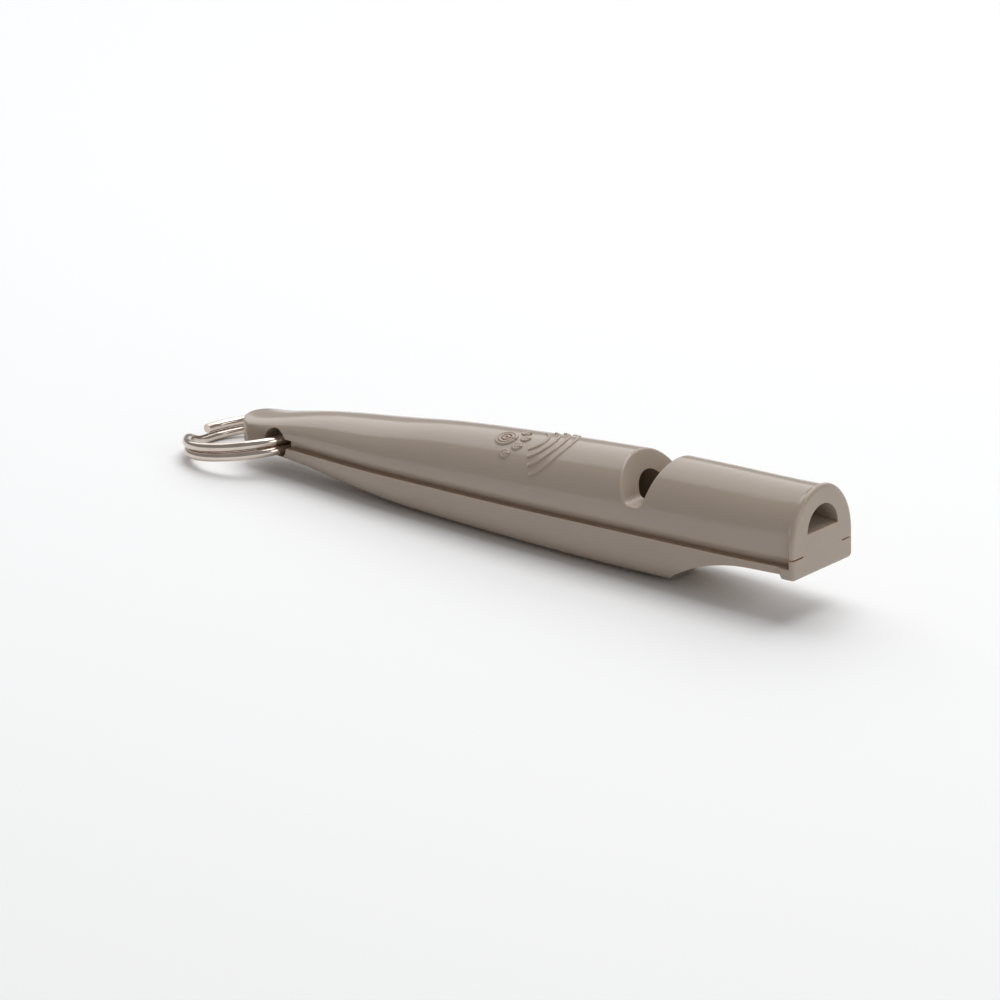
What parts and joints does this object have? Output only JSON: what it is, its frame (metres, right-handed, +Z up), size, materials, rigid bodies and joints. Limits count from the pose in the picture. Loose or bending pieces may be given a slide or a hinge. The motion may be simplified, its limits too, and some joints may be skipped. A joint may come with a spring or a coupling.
{
  "type": "dog training whistle",
  "caption": "Slim pealess dog-training whistle with a boat-shaped keel, a notched window, a D-shaped mouth opening and a split ring through the tail.",
  "frame": {"origin": "on the surface that the whistle rests on, under the middle of its bounding box with the ring laid out behind the tail", "axes": "+X from the ring and tail towards the mouth end, +Y to the left seen from the tail, +Z up; the whistle lies at rest on its keel, so the seam is pitched 2 degrees nose up"},
  "size_m": [0.089, 0.0162, 0.0141],
  "materials": {
    "body_plastic": "glossy moulded, warm grey",
    "ring_steel": "polished nickel plate"
  },
  "bodies": {
    "whistle": {"upper_body": "body_plastic", "lower_body": "body_plastic"},
    "ring": {"split_ring": "ring_steel"}
  },
  "joints": [
    {"name": "ring_swing", "type": "hinge", "parent": "whistle", "child": "ring", "pos_m": [-0.02945, 0, 0.00353], "axis": [0, 1, 0], "range_deg": [-150, 160]}
  ]
}
